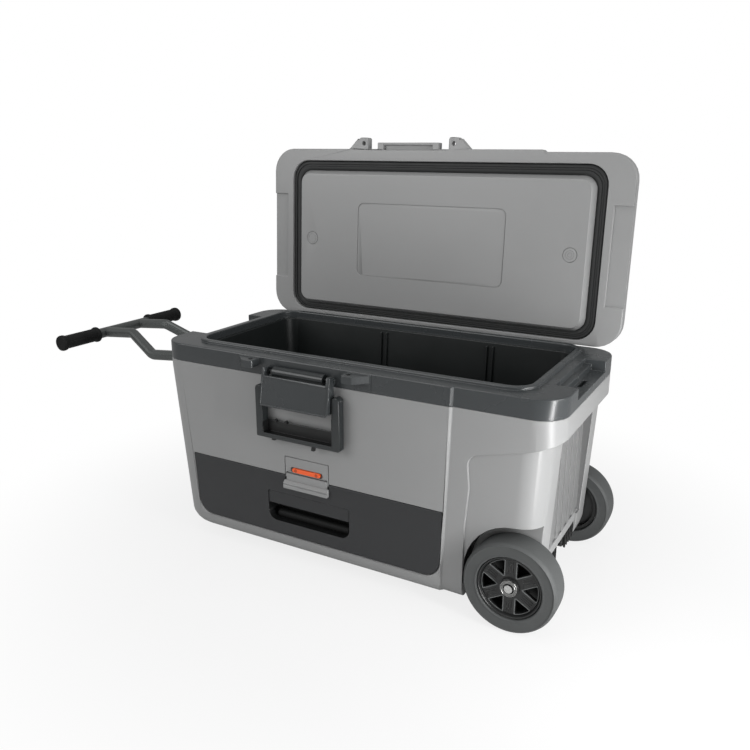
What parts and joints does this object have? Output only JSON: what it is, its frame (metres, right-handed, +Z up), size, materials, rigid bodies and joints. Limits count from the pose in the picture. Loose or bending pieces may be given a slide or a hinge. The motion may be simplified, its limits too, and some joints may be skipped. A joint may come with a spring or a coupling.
{
  "type": "wheeled cooler",
  "caption": "Rectangular wheeled cooler with a hinged insulated lid, draw latch, front dry-goods drawer, end wheels and a fold-down pull handle.",
  "frame": {"origin": "middle of the body's flat underside, 28 mm above the floor that the wheels and feet stand on", "axes": "+X along the cooler towards the wheels, with the pull handle at -X; -Y is the front with the drawer and the latch; +Z up"},
  "size_m": [1.2846, 0.5472, 0.8872],
  "materials": {
    "shell_grey": "satin moulded plastic",
    "collar_grey": "satin moulded plastic",
    "drawer_grey": "satin moulded plastic",
    "tub_black": "smooth moulded plastic",
    "foam": "rigid insulating foam",
    "rubber_black": "matt rubber",
    "bracket_black": "matt moulded plastic",
    "tyre_black": "solid rubber tyre",
    "rim_black": "glossy moulded plastic",
    "steel": "bright plated steel",
    "tube_grey": "satin grey coated tube",
    "key_orange": "orange moulded plastic"
  },
  "bodies": {
    "body": {"outer_shell": "shell_grey", "collar": "collar_grey", "inner_tub": "tub_black", "body_foam": "foam", "drawer_bay": "drawer_grey", "drawer_runner_left": "steel", "drawer_runner_right": "steel", "foot_front": "rubber_black", "foot_rear": "rubber_black", "axle": "steel", "axle_bracket_front": "bracket_black", "axle_bracket_rear": "bracket_black", "axle_cap_front": "steel", "axle_cap_rear": "steel", "latch_barrel": "collar_grey", "latch_pin": "steel", "handle_mount_front": "collar_grey", "handle_mount_rear": "collar_grey", "handle_pin_front": "steel", "handle_pin_rear": "steel", "hinge_leaf_lower_left": "steel", "hinge_leaf_lower_right": "steel", "hinge_pin_left": "steel", "hinge_pin_right": "steel"},
    "lid": {"lid_shell": "shell_grey", "lid_liner": "shell_grey", "lid_gasket": "rubber_black", "lid_foam": "foam", "lid_plug_left": "shell_grey", "lid_plug_right": "shell_grey", "hinge_leaf_upper_left": "steel", "hinge_leaf_upper_right": "steel"},
    "latch_lever": {"latch_lever": "collar_grey"},
    "latch_bail": {"latch_bail": "collar_grey", "bail_pin_left": "steel", "bail_pin_right": "steel"},
    "drawer": {"drawer_front": "drawer_grey", "drawer_pull_visor": "drawer_grey", "drawer_tray": "drawer_grey", "drawer_latch_plate": "shell_grey"},
    "drawer_lift_tab": {"drawer_lift_tab": "shell_grey"},
    "drawer_lock_key": {"drawer_lock_key": "key_orange"},
    "wheel_front": {"tyre_front": "tyre_black", "wheel_rim_front": "rim_black"},
    "wheel_rear": {"tyre_rear": "tyre_black", "wheel_rim_rear": "rim_black"},
    "handle": {"handle_arm_front": "tube_grey", "handle_arm_rear": "tube_grey", "handle_crossbar": "tube_grey", "handle_grip_front": "rubber_black", "handle_grip_rear": "rubber_black"}
  },
  "joints": [
    {"name": "lid_hinge", "type": "hinge", "parent": "body", "child": "lid", "pos_m": [0, 0.2106, 0.4153], "axis": [1, 0, 0], "range_deg": [0, 93.1]},
    {"name": "latch_lever_hinge", "type": "hinge", "parent": "body", "child": "latch_lever", "pos_m": [-0.0742, -0.2176, 0.4015], "axis": [-1, 0, 0], "range_deg": [0, 75]},
    {"name": "latch_bail_hinge", "type": "hinge", "parent": "latch_lever", "child": "latch_bail", "pos_m": [-0.0742, -0.2221, 0.364], "axis": [-1, 0, 0], "range_deg": [0, 110]},
    {"name": "drawer_slide", "type": "slide", "parent": "body", "child": "drawer", "axis": [0, -1, 0], "range_m": [0, 0.28]},
    {"name": "drawer_lift_tab_hinge", "type": "hinge", "parent": "drawer", "child": "drawer_lift_tab", "pos_m": [-0.0687, -0.2057, 0.177], "axis": [-1, 0, 0], "range_deg": [0, 35]},
    {"name": "drawer_lock_slide", "type": "slide", "parent": "drawer", "child": "drawer_lock_key", "axis": [1, 0, 0], "range_m": [-0.005, 0.005]},
    {"name": "wheel_front_spin", "type": "hinge", "parent": "body", "child": "wheel_front", "pos_m": [0.3821, -0.1982, 0.063], "axis": [0, 1, 0], "continuous": true},
    {"name": "wheel_rear_spin", "type": "hinge", "parent": "body", "child": "wheel_rear", "pos_m": [0.3821, 0.1982, 0.063], "axis": [0, 1, 0], "continuous": true},
    {"name": "handle_hinge", "type": "hinge", "parent": "body", "child": "handle", "pos_m": [-0.469, 0, 0.3552], "axis": [0, 1, 0], "range_deg": [-85, 45]}
  ]
}
